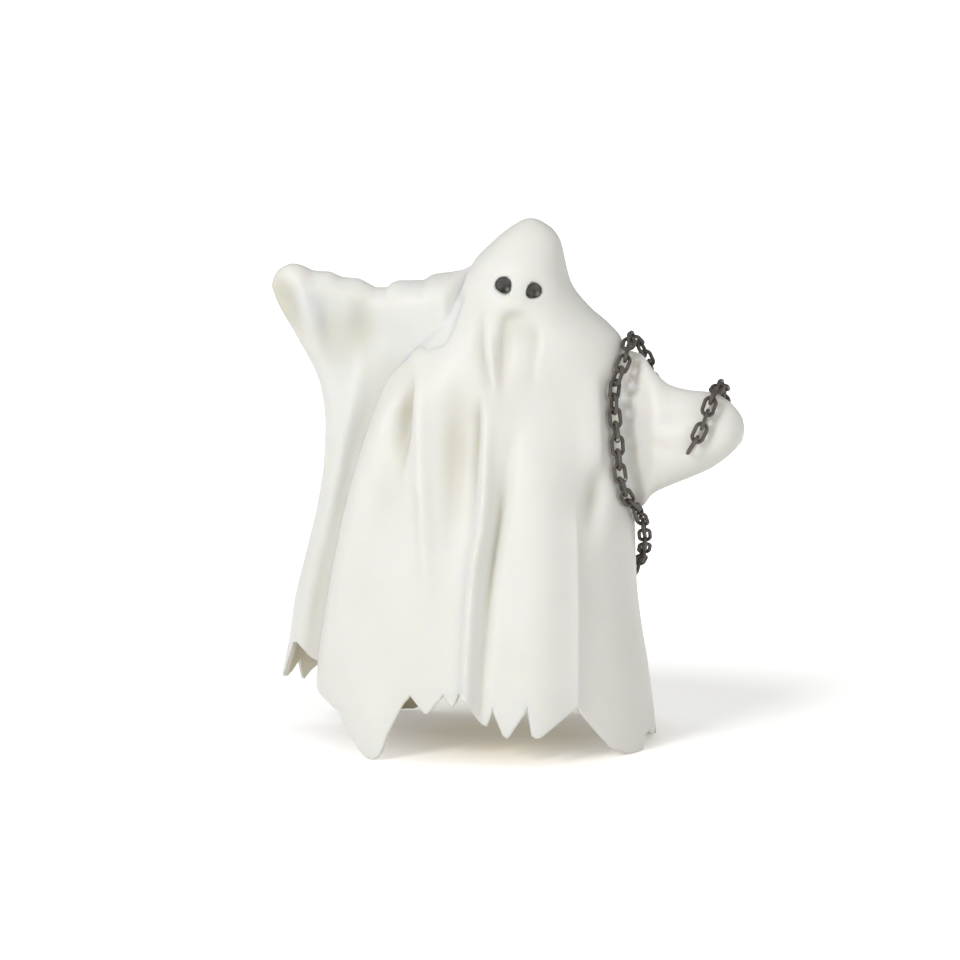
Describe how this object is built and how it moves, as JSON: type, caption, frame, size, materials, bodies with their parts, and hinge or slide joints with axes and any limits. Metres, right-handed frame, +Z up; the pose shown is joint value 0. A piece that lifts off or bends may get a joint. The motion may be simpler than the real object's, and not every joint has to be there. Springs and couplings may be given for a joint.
{
  "type": "ghost figure",
  "caption": "Free-standing sheet ghost figure with one arm raised and one lowered, hollow under a torn hem, with a dark chain of threaded links over the lowered arm",
  "frame": {"origin": "on the floor under the middle of the figure's bounding box", "axes": "+Z up from the floor, the figure faces -Y, +X to the viewer's right"},
  "size_m": [0.0802, 0.0465, 0.09],
  "materials": {
    "drape_white": "satin moulded, slightly translucent warm off-white",
    "eye_dark": "matt dark brown-black paint in a recess",
    "painted_chain": "hand-painted dark warm grey, worn on the high spots"
  },
  "bodies": {
    "figure": {"front_drape": "drape_white", "rear_drape": "drape_white", "raised_sleeve": "drape_white", "lowered_sleeve": "drape_white", "eye_cup_left": "eye_dark", "eye_cup_right": "eye_dark", "hand_link_01": "painted_chain", "hand_link_02": "painted_chain", "hand_link_03": "painted_chain", "hand_link_04": "painted_chain", "hand_link_05": "painted_chain", "hand_link_06": "painted_chain", "hand_link_07": "painted_chain", "hand_link_08": "painted_chain", "hand_link_09": "painted_chain", "hand_link_10": "painted_chain", "flank_link_01": "painted_chain", "flank_link_02": "painted_chain", "flank_link_03": "painted_chain", "flank_link_04": "painted_chain", "flank_link_05": "painted_chain", "flank_link_06": "painted_chain", "flank_link_07": "painted_chain", "flank_link_08": "painted_chain", "flank_link_09": "painted_chain", "flank_link_10": "painted_chain", "flank_link_11": "painted_chain", "flank_link_12": "painted_chain", "flank_link_13": "painted_chain", "flank_link_14": "painted_chain", "flank_link_15": "painted_chain", "flank_link_16": "painted_chain", "flank_link_17": "painted_chain", "flank_link_18": "painted_chain", "flank_link_19": "painted_chain", "flank_link_20": "painted_chain", "flank_link_21": "painted_chain", "flank_link_22": "painted_chain", "flank_link_23": "painted_chain", "flank_link_24": "painted_chain", "flank_link_25": "painted_chain", "flank_link_26": "painted_chain", "flank_link_27": "painted_chain", "flank_link_28": "painted_chain", "flank_link_29": "painted_chain", "flank_link_30": "painted_chain"},
    "chain_loop": {"loop_link_01": "painted_chain", "loop_link_02": "painted_chain", "loop_link_03": "painted_chain", "loop_link_04": "painted_chain", "loop_link_05": "painted_chain", "loop_link_06": "painted_chain", "loop_link_07": "painted_chain", "loop_link_08": "painted_chain", "loop_link_09": "painted_chain", "loop_link_10": "painted_chain", "loop_link_11": "painted_chain"},
    "tail_1": {"tail_link_01": "painted_chain"},
    "tail_2": {"tail_link_02": "painted_chain"},
    "tail_3": {"tail_link_03": "painted_chain"}
  },
  "joints": [
    {"name": "loop_swing", "type": "hinge", "parent": "figure", "child": "chain_loop", "pos_m": [0.0251, 0.00519, 0.05995], "axis": [0.8596, -0.462, -0.2183], "range_deg": [0, 45]},
    {"name": "tail_swing_1", "type": "hinge", "parent": "figure", "child": "tail_1", "pos_m": [0.02102, 0.01103, 0.02575], "axis": [0.9331, 0.333, -0.1359], "range_deg": [0, 25]},
    {"name": "tail_swing_2", "type": "hinge", "parent": "tail_1", "child": "tail_2", "pos_m": [0.0203, 0.01235, 0.0239], "axis": [0.173, -0.7553, -0.6322], "range_deg": [0, 35]},
    {"name": "tail_swing_3", "type": "hinge", "parent": "tail_2", "child": "tail_3", "pos_m": [0.01987, 0.01327, 0.02172], "axis": [0.9568, 0.2792, -0.0811], "range_deg": [-25, 25]}
  ]
}
